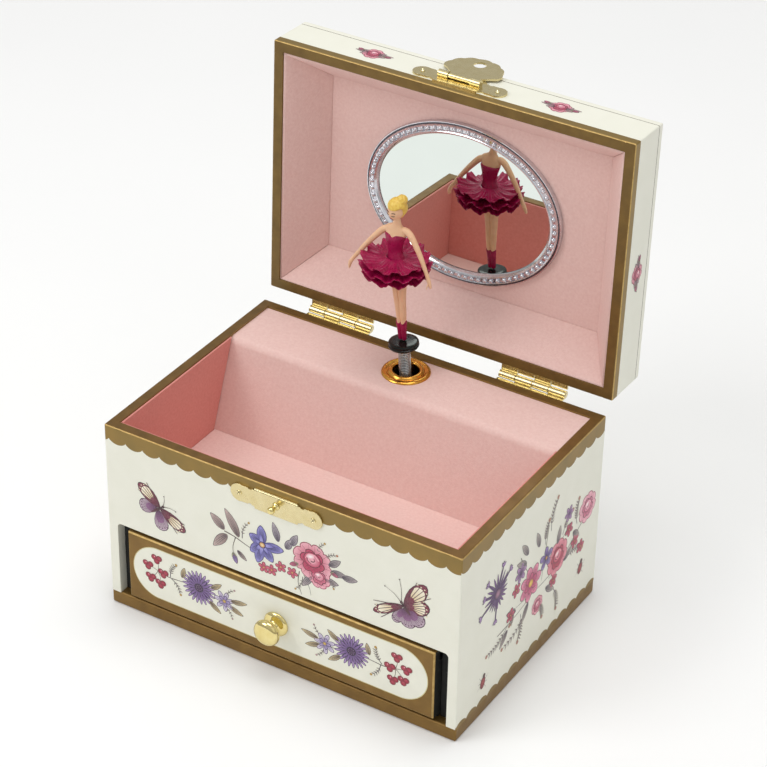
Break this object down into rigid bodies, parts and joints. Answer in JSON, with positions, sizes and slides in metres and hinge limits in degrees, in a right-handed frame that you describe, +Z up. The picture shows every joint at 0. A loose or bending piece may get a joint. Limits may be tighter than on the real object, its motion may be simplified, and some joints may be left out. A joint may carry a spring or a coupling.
{
  "type": "ballerina jewellery box",
  "caption": "Lidded jewellery box with a drawer, a lined compartment, an oval mirror in the lid and a dancer that turns on a spring over a wound musical movement.",
  "frame": {"origin": "middle of the box's footprint, on the surface it stands on", "axes": "+Z up; the drawer's front faces -Y; the lid is hinged along the back edge, at +Y; +X is to the right when the box is seen from its front"},
  "size_m": [0.16, 0.1591, 0.2043],
  "materials": {
    "paper_board": "printed paper over board, satin",
    "gold_board": "bronze-gold paint, satin",
    "black_board": "black paint, matt",
    "flock": "pink flocked card, matt",
    "brass": "pale lacquered brass, polished",
    "gilt": "gold-plated, polished",
    "steel": "bright steel",
    "casting": "die-cast, matt",
    "mirror": "silvered glass",
    "silvered_plastic": "vacuum-metallised plastic, bright",
    "black_plastic": "glossy, very dark green-black",
    "skin_plastic": "painted plastic, satin",
    "dress_plastic": "painted plastic, magenta, satin"
  },
  "bodies": {
    "case": {"base_board": "gold_board", "wall_left": "paper_board", "wall_right": "paper_board", "wall_back": "paper_board", "front_panel": "paper_board", "bay_back_board": "black_board", "drawer_guides": "black_board", "shelf_board": "paper_board", "compartment_floor": "flock", "lining_front": "flock", "lining_left": "flock", "lining_right": "flock", "platform_cover": "flock", "eyelet": "gilt", "catch_plate": "brass", "catch_stud": "brass", "hinge_body_leaves": "brass", "hinge_pins": "brass", "brass_nails": "brass", "movement_bedplate": "casting", "movement_comb": "steel", "comb_screws": "brass", "barrel_bridge": "casting", "mounting_screws": "steel", "governor_bracket": "casting"},
    "drawer": {"drawer_front": "gold_board", "drawer_left": "black_board", "drawer_right": "black_board", "drawer_back": "black_board", "drawer_bottom": "black_board", "drawer_lining": "flock", "drawer_knob": "gilt", "knob_screw": "steel"},
    "lid": {"lid_top": "paper_board", "lid_wall_front": "paper_board", "lid_wall_back": "paper_board", "lid_wall_left": "paper_board", "lid_wall_right": "paper_board", "lid_lining_panel": "flock", "lid_lining_slopes": "flock", "mirror_glass": "mirror", "mirror_bezel": "silvered_plastic", "hinge_lid_leaves": "brass", "lid_nails": "brass", "hasp_plate": "brass", "hasp_pin": "brass"},
    "hasp": {"hasp_leaf": "brass"},
    "cylinder": {"pin_cylinder": "brass", "cylinder_spindle": "steel"},
    "barrel": {"spring_barrel": "brass", "mainspring": "steel"},
    "governor": {"governor_wheel": "brass"},
    "fan": {"governor_fan": "steel"},
    "key": {"winding_shaft": "steel", "winding_key": "gilt"},
    "spring_top": {"figure_spring": "steel"},
    "dancer": {"figure_disc": "black_plastic", "figure_body": "skin_plastic", "figure_skirt": "dress_plastic"}
  },
  "joints": [
    {"name": "lid_hinge", "type": "hinge", "parent": "case", "child": "lid", "pos_m": [0, 0.0597, 0.086], "axis": [1, 0, 0], "range_deg": [0, 92]},
    {"name": "hasp_hinge", "type": "hinge", "parent": "lid", "child": "hasp", "pos_m": [0, 0.07198, 0.20284], "axis": [1, 0, 0], "range_deg": [0, 180]},
    {"name": "drawer_slide", "type": "slide", "parent": "case", "child": "drawer", "axis": [0, -1, 0], "range_m": [-0.0009, 0.048]},
    {"name": "key_turn", "type": "hinge", "parent": "case", "child": "key", "pos_m": [-0.0023, 0.0555, 0.0364], "axis": [0, 1, 0], "continuous": true},
    {"name": "cylinder_spin", "type": "hinge", "parent": "case", "child": "cylinder", "pos_m": [-0.0023, 0.0408, 0.05], "axis": [0, 0, 1], "continuous": true},
    {"name": "barrel_spin", "type": "hinge", "parent": "case", "child": "barrel", "pos_m": [-0.0023, 0.0308, 0.0364], "axis": [0, 1, 0], "continuous": true},
    {"name": "governor_spin", "type": "hinge", "parent": "case", "child": "governor", "pos_m": [0.0065, 0.0408, 0.0698], "axis": [0, 0, 1], "continuous": true},
    {"name": "fan_spin", "type": "hinge", "parent": "case", "child": "fan", "pos_m": [0.01247, 0.0408, 0.0745], "axis": [0, 1, 0], "continuous": true},
    {"name": "dancer_fold", "type": "hinge", "parent": "case", "child": "spring_top", "pos_m": [-0.0034, 0.0408, 0.09396], "axis": [1, 0, 0], "range_deg": [0, 110], "deforming": ["figure_spring"]},
    {"name": "dancer_spin", "type": "hinge", "parent": "spring_top", "child": "dancer", "pos_m": [-0.0034, 0.0408, 0.09396], "axis": [-0.0785, 0, 0.9969], "continuous": true}
  ],
  "couplings": [
    {"joint": "barrel_spin", "follows": "cylinder_spin", "ratio": 0.27778},
    {"joint": "governor_spin", "follows": "cylinder_spin", "ratio": -4.5},
    {"joint": "fan_spin", "follows": "cylinder_spin", "ratio": -45},
    {"joint": "dancer_spin", "follows": "cylinder_spin", "ratio": 1},
    {"joint": "dancer_fold", "follows": "lid_hinge", "ratio": 1.19}
  ]
}
